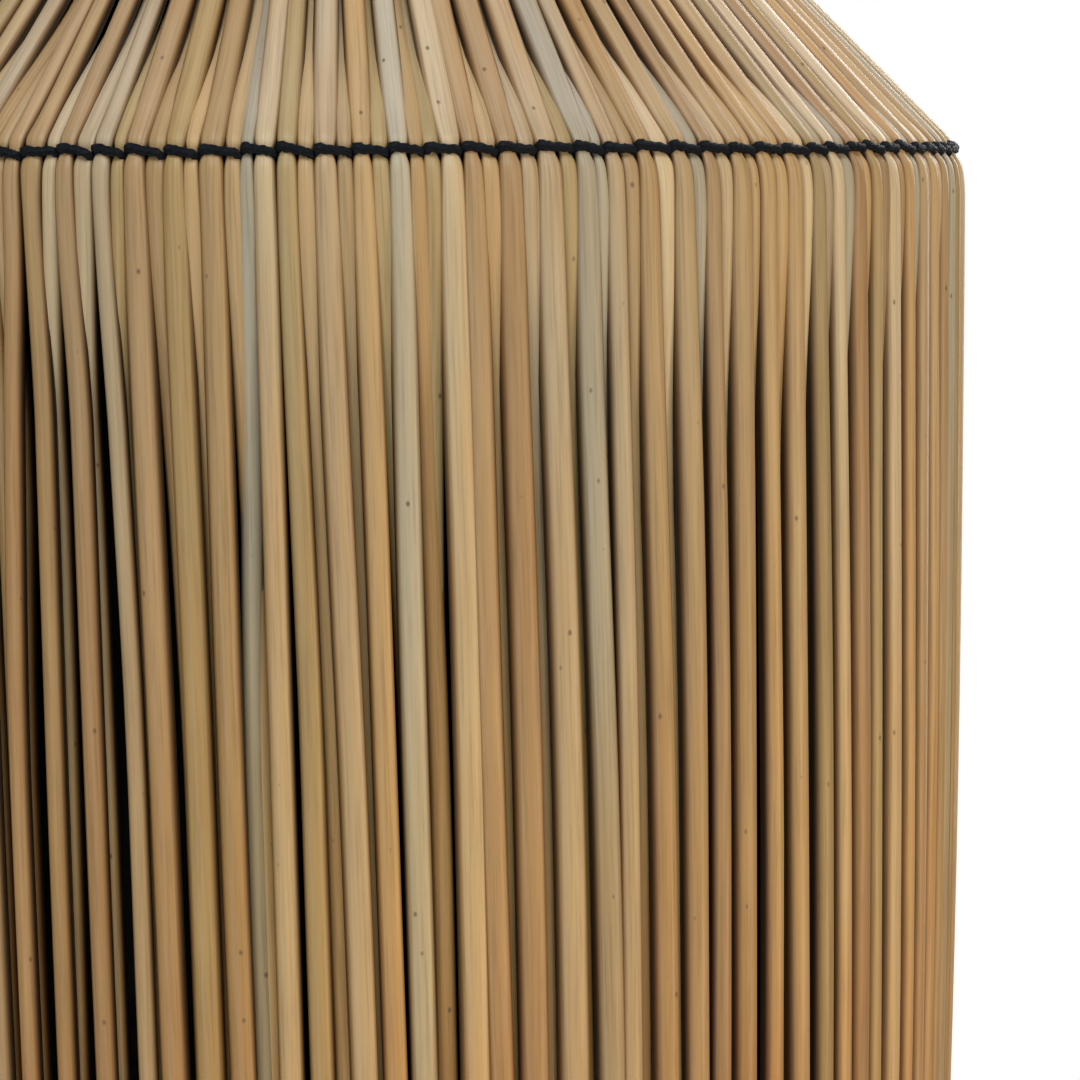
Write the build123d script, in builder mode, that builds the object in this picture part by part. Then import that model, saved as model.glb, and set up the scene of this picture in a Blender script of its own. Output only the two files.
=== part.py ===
"""Garden torch: a reed-clad head with a lift-out fuel canister, on a two-piece bamboo pole.

Sizes are in millimetres. +Z runs up the pole and the front faces -Y. The origin is the
centre of the step plate's underside, which lies on the ground when the spike is pushed in.
"""

import os
from math import atan2, cos, degrees, pi, radians, sin, sqrt, tan

from build123d import *

# ---------------------------------------------------------------- driving dimensions
# Fits between pieces
running_gap = 0.05  # radial, pin in a turning hole
slip_gap = 0.2  # radial, pole in a socket, sheet in sheet
moving_gap = 0.3  # between faces of pieces that move apart
rest_gap = 0.1  # between pieces that only lie against each other

# Ground spike and step plate
spike_radius = 6.0
spike_length = 150.0
spike_point = 30.0
plate_radius = 38.0
plate_thickness = 4.0

# Bamboo poles
pole_radius = 17.0
culm_wall = 6.0
pole_length = 510.0
node_spacing = 185.0
node_swell = 1.4
node_width = 7.0
diaphragm_thickness = 3.0
diaphragm_hole = 3.0

# Steel sockets and the sleeve that couples the poles
socket_wall = 2.0
socket_depth = 70.0
sleeve_depth = 60.0  # how far each pole goes into the sleeve
screw_radius = 1.75
screw_head_radius = 3.6
screw_head_height = 2.0
screw_bite = 4.0  # how far a screw enters the bamboo

# Clamp screw in the coupling sleeve
clamp_radius = 3.0
clamp_boss_radius = 8.0
clamp_boss_length = 8.0
clamp_pad_length = 3.0
clamp_knob_radius = 13.0
clamp_knob_length = 8.0
clamp_knob_lobes = 8
clamp_lobe_radius = 3.0
clamp_lobe_offset = 1.4  # of the hollows' centres, beyond the knob's radius
clamp_travel = 2.0

# Reed head
reed_radius = 1.15
reed_pairs = 120
shoulder_radius = 80.0  # over the reeds, at the drum's fullest
drum_height = 175.0  # from the shoulder hoop to the lower hoop
reed_tail = 11.0  # reeds below the lower hoop
drum_bow = 3.0  # how much the drum draws in at its lower end
cone_angle = 45.0
row_offset = 1.4  # between the outer and the inner row on the drum
neck_row_offset = 2.1  # the same at the neck, where the rows crowd
reed_lean = 2.0  # degrees that the drum's reeds stand off plumb
reed_end_room = 5.3  # from the collar's skirt to the outer reeds' ends

# Wire frame inside the reeds
hoop_wire = 2.0
rib_wire = 1.5
rib_count = 8
hoop_gap = 0.15
neck_hoop_inset = 3.5  # from the reeds' ends to the neck hoop

# Lashings
cord_radius = 0.55

# Heat shield and bowl
shield_thickness = 0.8
shield_gap = 4.2  # from the ribs' centre line on the cone
bowl_thickness = 1.2
bowl_rim_rise = 12.0  # above the lower hoop
bowl_drop = 58.0  # lower hoop to the bowl's flat bottom
bowl_flat_radius = 24.0
bowl_corner_drop = 18.0
bowl_bends = [16.0, 12.0]  # upper corner, lower corner
shield_foot_dip = 1.06  # below the start of the bowl's upper bend
shield_bend = 4.0
bolt_radius = 3.0
bolt_head_radius = 5.5
bolt_head_height = 4.0
bolt_length = 22.0
washer_radius = 9.0
washer_thickness = 1.2
nut_flat = 10.0
nut_height = 5.0
socket_top = 3.0

# Neck collar
can_room = 2.2  # radial, between the canister and the collar
collar_wall = 1.0
collar_skirt = 15.0
collar_bend = 1.5
collar_end_gap = 0.89  # above the outer reeds' ends
collar_lip_cover = 4.0  # how far the lip reaches beyond the neck hoop
collar_lip_gap = 1.7

# Canister
can_radius = 42.0
can_wall = 1.0
can_depth = 118.0  # below the collar
can_bend = 3.0
lid_seat = 10.8  # how far the lid lies over the collar
lid_thickness = 1.2
lid_bead = 1.4
spout_radius = 24.0
spout_wall = 3.0
spout_height = 13.0
vent_radius = 1.2

# Gasket, screw cap, wick
gasket_thickness = 1.5
cap_wall = 6.0  # outside the spout
cap_top = 1.8
cap_skirt = 11.0
cap_flutes = 36
cap_flute_radius = 1.3
thread_gap = 0.15
tube_radius = 6.4
tube_bore = 5.2
tube_flange_radius = 11.0
tube_flange = 1.2
tube_above = 7.0
tube_below = 9.0
wick_radius = 5.0
wick_showing = 6.0
wick_foot_gap = 6.0

# Snuffer
snuffer_bore = 10.5
snuffer_wall = 1.5
snuffer_inside = 18.0
snuffer_open = 120.0  # degrees back from closed
pivot_inset = 5.2  # of the pivot from the cap's edge
pivot_rise = 4.6  # pivot above the cap's top
pin_radius = 1.25
pin_overhang = 1.5
barrel_wall = 1.25
tongue_width = 8.0
arm_thickness = 2.2
arm_height = 8.0  # of the arm's level run, above the cup's mouth
arm_bend_reach = 4.5  # from the cup's wall to the arm's bend
ear_thickness = 1.6
ear_rim = 1.9
bracket_sheet = 1.2
web_reach = 2.9  # from the pivot to the web that stops the arm
rivet_radius = 1.2
rivet_head = 1.0
knob_radius = 4.5
knob_neck = 2.2  # its radius, and the height of the neck that shows

# ---------------------------------------------------------------- levels and places
ground = 0.0
pole_bore = pole_radius - culm_wall
collar_bore = can_radius + can_room
neck_end_radius = collar_bore + collar_wall + reed_end_room
neck_hoop_radius = neck_end_radius + neck_hoop_inset
collar_lip_radius = neck_hoop_radius + collar_lip_cover
lid_radius = collar_bore + lid_seat
spout_bore = spout_radius - spout_wall
cap_radius = spout_radius + cap_wall
pivot_reach = cap_radius - pivot_inset
lower_pole_bottom = plate_thickness + 1.0
lower_pole_top = lower_pole_bottom + pole_length
upper_pole_bottom = lower_pole_top + moving_gap
upper_pole_top = upper_pole_bottom + pole_length
socket_radius = pole_radius + slip_gap + socket_wall
socket_bore = pole_radius + slip_gap
head_socket_top = upper_pole_top + rest_gap + socket_top
lower_hoop_z = head_socket_top + bowl_drop + bowl_thickness
shoulder_z = lower_hoop_z + drum_height

# Reeds: the outer row's centre line on the drum, and the hoop that they fold over
outer_r = shoulder_radius - reed_radius
inner_r = outer_r - row_offset
inner_bend = hoop_wire + hoop_gap + reed_radius
outer_bend = inner_bend + row_offset
shoulder_hoop_r = outer_r - outer_bend
drum_length = drum_height + reed_tail
bow_radius = drum_height**2 / (2 * drum_bow)
lean = radians(reed_lean)


def bow_at(depth):
    """How far the drum has drawn in at a depth below the shoulder hoop."""
    return depth**2 / (2 * bow_radius)


def lean_out_at(depth):
    """How far the lean carries a reed off the axis at that depth."""
    return sqrt(outer_r**2 + (depth * sin(lean)) ** 2) - outer_r


cone_length = (
    shoulder_hoop_r + outer_bend * cos(radians(cone_angle)) - neck_end_radius
) / cos(radians(cone_angle))
# The inner row lies a little flatter, so that the rows have more room at the neck
inner_cone_angle = cone_angle - degrees((neck_row_offset - row_offset) / cone_length)
cone = radians(inner_cone_angle)
off_cone = (sin(cone), cos(cone))  # outward and up, square to the cone

lower_hoop_r = inner_r - bow_at(drum_height) - reed_radius - hoop_gap - hoop_wire
neck_hoop_z = shoulder_z + (shoulder_hoop_r - neck_hoop_radius) * tan(cone)
slope = radians(cone_angle)
reed_end_rise = (outer_bend + reed_radius) * cos(slope) + cone_length * sin(slope)
collar_top = reed_end_rise + collar_end_gap + collar_wall  # above the shoulder hoop
collar_z = shoulder_z + collar_top
lid_z = collar_z + moving_gap
spout_top = lid_z + lid_thickness + spout_height
cap_under = spout_top + gasket_thickness
cap_z = cap_under + cap_top
tube_top = cap_z + tube_flange + tube_above
pivot_z = cap_z + pivot_rise
wick_bottom = collar_z - can_depth + can_wall + wick_foot_gap
wick_top = tube_top + wick_showing
clamp_z = upper_pole_bottom + sleeve_depth / 2
rivet_x = pivot_reach - 2.0


def keep(shape, name):
    """Labels a finished piece and writes its STEP file."""
    shape.label = name
    export_step(shape, f"parts/{name}.step")


def spin_profile(*outline):
    """A solid turned about the axis from (radius, height) points."""
    with BuildPart() as turned:
        with BuildSketch(Plane.XZ):
            with BuildLine():
                Polyline(*outline, close=True)
            make_face()
        revolve(axis=Axis.Z)
    return turned.part


def tube(outer, inner, bottom, top):
    """A plain tube standing on a level."""
    return spin_profile((inner, bottom), (outer, bottom), (outer, top), (inner, top))


def hoop(radius, height, wire):
    """A closed ring of round wire."""
    with BuildPart() as ring:
        with BuildSketch(Plane.XZ):
            with Locations((radius, height)):
                Circle(wire)
        revolve(axis=Axis.Z)
    return ring.part


def pressed_sheet(points, bends, thickness, side):
    """A turned shell of even thickness: points trace its outer face."""
    with BuildPart() as shell:
        with BuildSketch(Plane.XZ):
            with BuildLine():
                FilletPolyline(*points, radius=bends)
                offset(amount=thickness, side=side, kind=Kind.INTERSECTION)
            make_face()
        revolve(axis=Axis.Z)
    return shell.part


def around(shape, count, start=0.0):
    """Copies of one piece set evenly about the axis."""
    return [shape.rotate(Axis.Z, start + 360 / count * k) for k in range(count)]


# ---------------------------------------------------------------- spike and step plate
def make_spike():
    keep(
        spin_profile(
            (0, ground),
            (spike_radius, ground),
            (spike_radius, ground - spike_length),
            (0, ground - spike_length - spike_point),
        ),
        "ground_spike",
    )
    with BuildPart() as plate:
        Cylinder(plate_radius, plate_thickness, align=(Align.CENTER, Align.CENTER, Align.MIN))
        chamfer(plate.edges().filter_by(GeomType.CIRCLE).group_by(Axis.Z)[-1], 1.0)
    keep(plate.part, "step_plate")


# ---------------------------------------------------------------- bamboo poles
def bamboo(bottom, top, nodes):
    """A culm with swollen nodes, hollow between its pierced diaphragms."""
    half = node_width / 2
    with BuildPart() as culm:
        with BuildSketch(Plane.XZ):
            with BuildLine():
                last = (pole_radius, bottom)
                for z in nodes:
                    Line(last, (pole_radius, z - half))
                    ThreePointArc(
                        (pole_radius, z - half), (pole_radius + node_swell, z), (pole_radius, z + half)
                    )
                    last = (pole_radius, z + half)
                Polyline(last, (pole_radius, top), (diaphragm_hole, top))
                Polyline((diaphragm_hole, top), (diaphragm_hole, bottom), (pole_radius, bottom))
            make_face()
        revolve(axis=Axis.Z)
        ends = [bottom, *nodes, top]
        for k, (low, high) in enumerate(zip(ends, ends[1:])):
            start = low if k == 0 else low + diaphragm_thickness / 2
            stop = high if k == len(nodes) else high - diaphragm_thickness / 2
            with Locations((0, 0, (start + stop) / 2)):
                Cylinder(pole_bore, stop - start, mode=Mode.SUBTRACT)
    return culm.part


def cross_holes(shape, z, radius):
    """Drills a level hole right through along X."""
    with BuildPart() as drilled:
        add(shape)
        with Locations(Location((0, 0, z), (0, 90, 0))):
            Cylinder(radius, 4 * socket_radius, mode=Mode.SUBTRACT)
    return drilled.part


def cross_screws(z):
    """Two pan-head screws through a socket's wall into the bamboo, left and right."""
    with BuildPart() as screw:
        with BuildSketch(Plane.XY):
            with BuildLine():
                Polyline(
                    (pole_radius - screw_bite, 0),
                    (pole_radius - screw_bite + 1.5, screw_radius),
                    (socket_radius + rest_gap, screw_radius),
                    (socket_radius + rest_gap, screw_head_radius),
                )
                ThreePointArc(
                    (socket_radius + rest_gap, screw_head_radius),
                    (socket_radius + rest_gap + 0.8 * screw_head_height, 0.6 * screw_head_radius),
                    (socket_radius + rest_gap + screw_head_height, 0),
                )
                Line(
                    (socket_radius + rest_gap + screw_head_height, 0),
                    (pole_radius - screw_bite, 0),
                )
            make_face()
        revolve(axis=Axis.X)
        with Locations((socket_radius + screw_head_height, 0, 0)):
            Box(screw_head_height, 1.0, 1.4 * screw_head_radius, mode=Mode.SUBTRACT)
            Box(screw_head_height, 1.4 * screw_head_radius, 1.0, mode=Mode.SUBTRACT)
    raised = screw.part.moved(Location((0, 0, z)))
    return Compound(around(raised, 2))


def make_poles():
    screw_hole = screw_radius + rest_gap
    low_screw_z = plate_thickness + 0.7 * socket_depth
    sleeve_bottom = lower_pole_top - sleeve_depth
    sleeve_screw_z = lower_pole_top - 0.6 * sleeve_depth
    head_screw_z = head_socket_top - 0.6 * socket_depth

    low_nodes = [lower_pole_bottom + node_spacing * (k + 0.65) for k in range(2)]
    high_nodes = [upper_pole_bottom + node_spacing * (k + 0.62) for k in range(2)]
    lower = bamboo(lower_pole_bottom, lower_pole_top, low_nodes)
    lower = cross_holes(cross_holes(lower, low_screw_z, screw_hole), sleeve_screw_z, screw_hole)
    keep(lower, "lower_pole")
    keep(cross_holes(bamboo(upper_pole_bottom, upper_pole_top, high_nodes), head_screw_z, screw_hole),
         "upper_pole")

    lower_socket = tube(socket_radius, socket_bore, plate_thickness, plate_thickness + socket_depth)
    keep(cross_holes(lower_socket, low_screw_z, screw_hole), "lower_socket")
    keep(cross_screws(low_screw_z), "lower_socket_screws")

    with BuildPart() as sleeve:
        add(tube(socket_radius, socket_bore, sleeve_bottom, lower_pole_top + sleeve_depth))
        with BuildSketch(Plane(origin=(0, 0, clamp_z), z_dir=(0, -1, 0))):
            Circle(clamp_boss_radius)
        extrude(amount=socket_radius + clamp_boss_length)
        with Locations((0, 0, clamp_z)):
            Cylinder(socket_bore, 3 * clamp_boss_radius, mode=Mode.SUBTRACT)
        with Locations(Location((0, -socket_radius, clamp_z), (90, 0, 0))):
            Cylinder(clamp_radius + running_gap, 4 * clamp_boss_length, mode=Mode.SUBTRACT)
    keep(cross_holes(sleeve.part, sleeve_screw_z, screw_hole), "coupling_sleeve")
    keep(cross_screws(sleeve_screw_z), "sleeve_screws")


def make_clamp():
    """The brass pad that grips the upper pole, and the thumb screw that drives it."""
    pad_face = pole_radius + moving_gap
    with BuildPart() as pad:
        with BuildSketch(Plane(origin=(0, -pad_face, clamp_z), z_dir=(0, -1, 0))):
            Circle(clamp_radius - rest_gap)
        extrude(amount=clamp_pad_length)
    keep(pad.part, "clamp_pad")

    shank_start = pad_face + clamp_pad_length + running_gap
    knob_start = socket_radius + clamp_boss_length + clamp_travel
    with BuildPart() as screw:
        with BuildSketch(Plane(origin=(0, -shank_start, clamp_z), z_dir=(0, -1, 0))):
            Circle(clamp_radius)
        extrude(amount=knob_start - shank_start)
        with BuildSketch(Plane(origin=(0, -knob_start, clamp_z), z_dir=(0, -1, 0))):
            Circle(clamp_knob_radius)
            with PolarLocations(clamp_knob_radius + clamp_lobe_offset, clamp_knob_lobes):
                Circle(clamp_lobe_radius, mode=Mode.SUBTRACT)
        extrude(amount=clamp_knob_length)
        chamfer(screw.faces().sort_by(Axis.Y)[0].edges(), 0.8)
    keep(screw.part, "thumb_screw")


# ---------------------------------------------------------------- head socket and bowl
def make_head_base():
    screw_z = head_socket_top - 0.6 * socket_depth
    inside_top = head_socket_top - socket_top
    bolt_hole = bolt_radius + slip_gap
    socket = spin_profile(
        (socket_bore, head_socket_top - socket_depth),
        (socket_radius, head_socket_top - socket_depth),
        (socket_radius, head_socket_top),
        (bolt_hole, head_socket_top),
        (bolt_hole, inside_top),
        (socket_bore, inside_top),
    )
    keep(cross_holes(socket, screw_z, screw_radius + rest_gap), "head_socket")
    keep(cross_screws(screw_z), "head_socket_screws")

    rim_r = lower_hoop_r - hoop_wire
    keep(
        pressed_sheet(
            [
                (rim_r, lower_hoop_z + bowl_rim_rise),
                (rim_r, lower_hoop_z - bowl_corner_drop),
                (bowl_flat_radius, head_socket_top),
                (bolt_hole, head_socket_top),
            ],
            bowl_bends,
            bowl_thickness,
            Side.RIGHT,
        ),
        "base_bowl",
    )

    washer_z = head_socket_top + bowl_thickness
    keep(tube(washer_radius, bolt_hole, washer_z, washer_z + washer_thickness), "bolt_washer")
    head_z = washer_z + washer_thickness
    with BuildPart() as bolt:
        with BuildSketch(Plane.XY.offset(head_z)):
            Circle(bolt_head_radius)
            RegularPolygon(2.9, 6, mode=Mode.SUBTRACT)
        extrude(amount=bolt_head_height)
        with BuildSketch(Plane.XY.offset(head_z)):
            Circle(bolt_head_radius)
        extrude(amount=1.4)
        with BuildSketch(Plane.XY.offset(head_z)):
            Circle(bolt_radius)
        extrude(amount=-bolt_length)
    keep(bolt.part, "centre_bolt")
    with BuildPart() as nut:
        with BuildSketch(Plane.XY.offset(inside_top)):
            RegularPolygon(nut_flat / 2, 6, major_radius=False)
            Circle(bolt_radius + rest_gap, mode=Mode.SUBTRACT)
        extrude(amount=-nut_height)
    keep(nut.part, "centre_nut")


# ---------------------------------------------------------------- wire frame
def make_frame():
    hoops = {
        "shoulder_hoop": hoop(shoulder_hoop_r, shoulder_z, hoop_wire),
        "lower_hoop": hoop(lower_hoop_r, lower_hoop_z, hoop_wire),
        "neck_hoop": hoop(neck_hoop_radius, neck_hoop_z, hoop_wire),
    }
    for name, shape in hoops.items():
        keep(shape, name)

    def rib(low, high, *coped_by):
        """One rib from (radius, height) to (radius, height), coped to what it is welded to."""
        start = Vector(low[0], 0, low[1])
        stop = Vector(high[0], 0, high[1])
        with BuildPart() as wire:
            with BuildSketch(Plane(origin=start, z_dir=stop - start)):
                Circle(rib_wire)
            extrude(amount=(stop - start).length)
            for other in coped_by:
                add(other, mode=Mode.SUBTRACT)
        return wire.part

    drum_rib = rib(
        (lower_hoop_r, lower_hoop_z),
        (shoulder_hoop_r, shoulder_z),
        hoops["lower_hoop"],
        hoops["shoulder_hoop"],
        tube(lower_hoop_r - hoop_wire, 1, lower_hoop_z - 20, lower_hoop_z + bowl_rim_rise),
    )
    keep(Compound(around(drum_rib, rib_count)), "drum_ribs")

    collar_r = collar_bore + collar_wall
    cone_rib = rib(
        (shoulder_hoop_r, shoulder_z),
        (collar_r - 3, shoulder_z + (shoulder_hoop_r - collar_r + 3) * tan(cone)),
        hoops["shoulder_hoop"],
        hoops["neck_hoop"],
        tube(collar_r, 1, shoulder_z, collar_z),
        tube(shoulder_radius, 1, collar_z - collar_wall, collar_z + shoulder_radius),
    )
    keep(Compound(around(cone_rib, rib_count)), "cone_ribs")


def make_heat_shield():
    """A sheet-steel lining that keeps the burner's heat off the reeds."""
    rim_r = lower_hoop_r - hoop_wire
    outer = rim_r - bowl_thickness - rest_gap
    bowl_turn = atan2(rim_r - bowl_flat_radius, bowl_drop + bowl_thickness - bowl_corner_drop)
    bend_start = lower_hoop_z - bowl_corner_drop + bowl_bends[0] * tan(bowl_turn / 2)
    foot_z = bend_start - shield_foot_dip
    line_r = shoulder_hoop_r - shield_gap * off_cone[0]
    line_z = shoulder_z - shield_gap * off_cone[1]
    top_r = collar_bore + collar_wall + moving_gap + shield_thickness * off_cone[0]
    keep(
        pressed_sheet(
            [
                (outer, foot_z),
                (outer, line_z + (line_r - outer) * tan(cone)),
                (top_r, line_z + (line_r - top_r) * tan(cone)),
            ],
            [shield_bend],
            shield_thickness,
            Side.LEFT,
        ),
        "heat_shield",
    )


def make_collar():
    """The pressed ring that caps the reeds' upper ends and carries the canister."""
    outer_face = outer_bend + reed_radius  # of the reeds, off the shoulder hoop's centre
    lip_off = outer_face + collar_lip_gap + collar_wall
    lip_rise = lip_off / cos(slope)  # of the lip's outer face above the hoop's centre
    lip_z = shoulder_z + lip_rise + (shoulder_hoop_r - collar_lip_radius) * tan(slope)
    bend_r = shoulder_hoop_r - (collar_top - lip_rise) / tan(slope)
    keep(
        pressed_sheet(
            [
                (collar_lip_radius, lip_z),
                (bend_r, collar_z),
                (collar_bore, collar_z),
                (collar_bore, collar_z - collar_skirt),
            ],
            [collar_bend, collar_bend],
            collar_wall,
            Side.LEFT,
        ),
        "neck_collar",
    )


# ---------------------------------------------------------------- reeds and lashings
def reed(drum_r, bend, angle, upper_length):
    """One reed: straight up the cone, folded over the shoulder hoop, bowed down the drum."""
    turn = radians(angle)
    fold_top = (
        shoulder_hoop_r + bend * sin(turn),
        shoulder_z + bend * cos(turn),
    )
    neck_end = (
        fold_top[0] - upper_length * cos(turn),
        fold_top[1] + upper_length * sin(turn),
    )
    with BuildPart() as stem:
        with BuildLine(Plane.XZ) as path:
            rise = Line(neck_end, fold_top)
            fold = JernArc(rise @ 1, rise % 1, bend, angle - 90)
            JernArc(fold @ 1, fold % 1, bow_radius, -degrees(drum_length / bow_radius))
        with BuildSketch(Plane(origin=path.line @ 0, z_dir=path.line % 0)):
            Circle(reed_radius)
        sweep(path=path.line)
    return stem.part.rotate(Axis((0, 0, shoulder_z), (1, 0, 0)), reed_lean)


def make_reeds():
    outer = reed(outer_r, outer_bend, cone_angle, cone_length)
    inner = reed(inner_r, inner_bend, inner_cone_angle, cone_length)
    print("reed volume over section times length", reed_volume_ratio(outer))
    keep(Compound(around(outer, reed_pairs)), "outer_reeds")
    keep(Compound(around(inner, reed_pairs, 180 / reed_pairs)), "inner_reeds")


def reed_volume_ratio(stem):
    length = cone_length + outer_bend * radians(90 - cone_angle) + drum_length
    return round(stem.volume / (pi * reed_radius**2 * length), 4)


def lashing(hoop_r, hoop_z, tilt, depth_of_rows, name):
    """A front strand over the reeds and a rear strand behind the hoop, seen along tilt."""
    turn = radians(tilt)
    front = depth_of_rows + rest_gap + cord_radius
    rear = hoop_wire + rest_gap + cord_radius
    strands = [
        hoop(hoop_r + front * cos(turn), hoop_z + front * sin(turn), cord_radius),
        hoop(hoop_r - rear * cos(turn), hoop_z - rear * sin(turn), cord_radius),
    ]
    keep(Compound(strands), name)


def make_lashings():
    rows = outer_bend + reed_radius
    neck_rows = inner_bend + neck_row_offset + reed_radius
    lashing(shoulder_hoop_r, shoulder_z, cone_angle / 2, rows, "shoulder_lashing")
    lashing(neck_hoop_radius, neck_hoop_z, 90 - inner_cone_angle, neck_rows, "neck_lashing")
    front_only = hoop(
        lower_hoop_r + rows + lean_out_at(drum_height) + rest_gap + cord_radius,
        lower_hoop_z,
        cord_radius,
    )
    keep(front_only, "lower_lashing")


# ---------------------------------------------------------------- canister
def make_canister():
    bottom = collar_z - can_depth
    with BuildPart() as can:
        with BuildSketch(Plane.XZ):
            with BuildLine():
                FilletPolyline(
                    (can_radius, lid_z), (can_radius, bottom), (0, bottom), radius=[can_bend]
                )
                offset(amount=can_wall, side=Side.RIGHT, kind=Kind.INTERSECTION)
            make_face()
        revolve(axis=Axis.Z)
    keep(can.part, "fuel_can")

    deck = lid_z + lid_thickness
    with BuildPart() as lid:
        with BuildSketch(Plane.XZ):
            with BuildLine():
                Polyline(
                    (spout_bore, lid_z),
                    (lid_radius, lid_z),
                    (lid_radius, deck),
                    (spout_radius, deck),
                    (spout_radius, spout_top),
                    (spout_bore, spout_top),
                    close=True,
                )
            make_face()
            with Locations((lid_radius, lid_z + lid_bead)):
                Circle(lid_bead)
        revolve(axis=Axis.Z)
    keep(lid.part, "can_lid")
    keep(tube(spout_radius - 0.2, spout_bore - 2, spout_top, cap_under), "cap_gasket")


# ---------------------------------------------------------------- screw cap and wick
def make_cap():
    inner = spout_radius + thread_gap
    with BuildPart() as cap:
        with BuildSketch(Plane.XY.offset(cap_under - cap_skirt)):
            Circle(cap_radius)
            with PolarLocations(cap_radius + 0.5, cap_flutes):
                Circle(cap_flute_radius, mode=Mode.SUBTRACT)
        extrude(amount=cap_skirt + cap_top)
        chamfer(cap.faces().sort_by(Axis.Z)[-1].outer_wire().edges(), 0.4)
        with Locations((0, 0, cap_under - cap_skirt / 2)):
            Cylinder(inner, cap_skirt, mode=Mode.SUBTRACT)
        with Locations((0, 0, cap_z)):
            Cylinder(tube_radius, 3 * cap_top, mode=Mode.SUBTRACT)
        with Locations((0, -(tube_flange_radius + inner) / 2, cap_z)):
            Cylinder(vent_radius, 3 * cap_top, mode=Mode.SUBTRACT)
        with Locations(*[(rivet_x, y, cap_z) for y in bracket_rivet_y()]):
            Cylinder(rivet_radius, 3 * cap_top, mode=Mode.SUBTRACT)
    keep(cap.part, "screw_cap")

    keep(
        spin_profile(
            (tube_bore, cap_under - tube_below),
            (tube_radius, cap_under - tube_below),
            (tube_radius, cap_z),
            (tube_flange_radius, cap_z),
            (tube_flange_radius, cap_z + tube_flange),
            (tube_radius, cap_z + tube_flange),
            (tube_radius, tube_top),
            (tube_bore, tube_top),
        ),
        "wick_tube",
    )
    with BuildPart() as wick:
        with BuildSketch(Plane.XY.offset(wick_bottom)):
            Circle(wick_radius)
        extrude(amount=wick_top - wick_bottom)
        fillet(wick.edges().group_by(Axis.Z)[-1], 1.2)
    keep(wick.part, "wick")


def bracket_rivet_y():
    reach = tongue_width / 2 + ear_thickness + 3.4
    return (-reach, reach)


def web_height():
    """The web ends just under the open arm, which then rests on its inner edge."""
    arm_rise = radians(180 - snuffer_open) - arm_angle()
    underside = web_reach * tan(arm_rise) - arm_thickness / 2 / cos(arm_rise)
    return pivot_rise + underside - rest_gap


def arm_angle():
    """Angle from -X, going up, of the arm's run at its pivot when the snuffer is closed."""
    return atan2(*arm_run())


def arm_run():
    """Rise and reach of that run, from the pivot to the arm's bend."""
    bend_x = snuffer_bore + snuffer_wall + arm_bend_reach
    bend_z = cap_z + tube_flange + moving_gap + arm_height
    return (bend_z - pivot_z, pivot_reach - bend_x)


def make_snuffer_bracket():
    """A bent steel bracket on the cap: two ears, their feet and the web that stops the arm."""
    ear_y = tongue_width / 2 + moving_gap
    ear_round = pin_radius + ear_rim
    foot_out = bracket_rivet_y()[1] + 2 * rivet_radius + 0.2
    with BuildPart() as bracket:
        with BuildSketch(Plane.XZ.offset(ear_y)):
            with Locations((pivot_reach, pivot_z)):
                Circle(ear_round)
            with BuildLine():
                Polyline(
                    (pivot_reach - ear_round - 2, cap_z),
                    (pivot_reach + web_reach + bracket_sheet, cap_z),
                    (pivot_reach + web_reach + bracket_sheet, cap_z + web_height()),
                    (pivot_reach + ear_round - 0.5, pivot_z + 0.5),
                    (pivot_reach - ear_round, pivot_z),
                    close=True,
                )
            make_face()
            with Locations((pivot_reach, pivot_z)):
                Circle(pin_radius, mode=Mode.SUBTRACT)
        extrude(amount=ear_thickness)
        with BuildSketch(Plane.XY.offset(cap_z)):
            with Locations((rivet_x, -(ear_y + foot_out) / 2)):
                Rectangle(3.6 * rivet_radius, foot_out - ear_y)
            with Locations((rivet_x, bracket_rivet_y()[0])):
                Circle(rivet_radius, mode=Mode.SUBTRACT)
        extrude(amount=bracket_sheet)
        mirror(about=Plane.XZ)
        with Locations((pivot_reach + web_reach, 0, cap_z)):
            Box(
                bracket_sheet,
                2 * ear_y,
                web_height(),
                align=(Align.MIN, Align.CENTER, Align.MIN),
            )
    keep(bracket.part, "snuffer_bracket")

    rivets = []
    for y in bracket_rivet_y():
        with BuildPart() as rivet:
            with BuildSketch(Plane.XY.offset(cap_under + running_gap)):
                with Locations((rivet_x, y)):
                    Circle(rivet_radius)
            extrude(amount=cap_top - running_gap + bracket_sheet)
            with BuildSketch(Plane.XY.offset(cap_z + bracket_sheet)):
                with Locations((rivet_x, y)):
                    Circle(1.8 * rivet_radius)
            extrude(amount=rivet_head)
            fillet(rivet.edges().group_by(Axis.Z)[-1], 0.7 * rivet_head)
        rivets.append(rivet.part)
    keep(Compound(rivets), "bracket_rivets")

    half = ear_y + ear_thickness + pin_overhang
    with BuildPart() as pin:
        with BuildSketch(Plane(origin=(pivot_reach, -half, pivot_z), z_dir=(0, 1, 0))):
            Circle(pin_radius)
        extrude(amount=2 * half)
        for end in (-half, half):
            with BuildSketch(Plane(origin=(pivot_reach, end, pivot_z), z_dir=(0, 1 if end > 0 else -1, 0))):
                Circle(pin_radius + 0.7)
            extrude(amount=0.9)
    keep(pin.part, "snuffer_pin")


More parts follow.
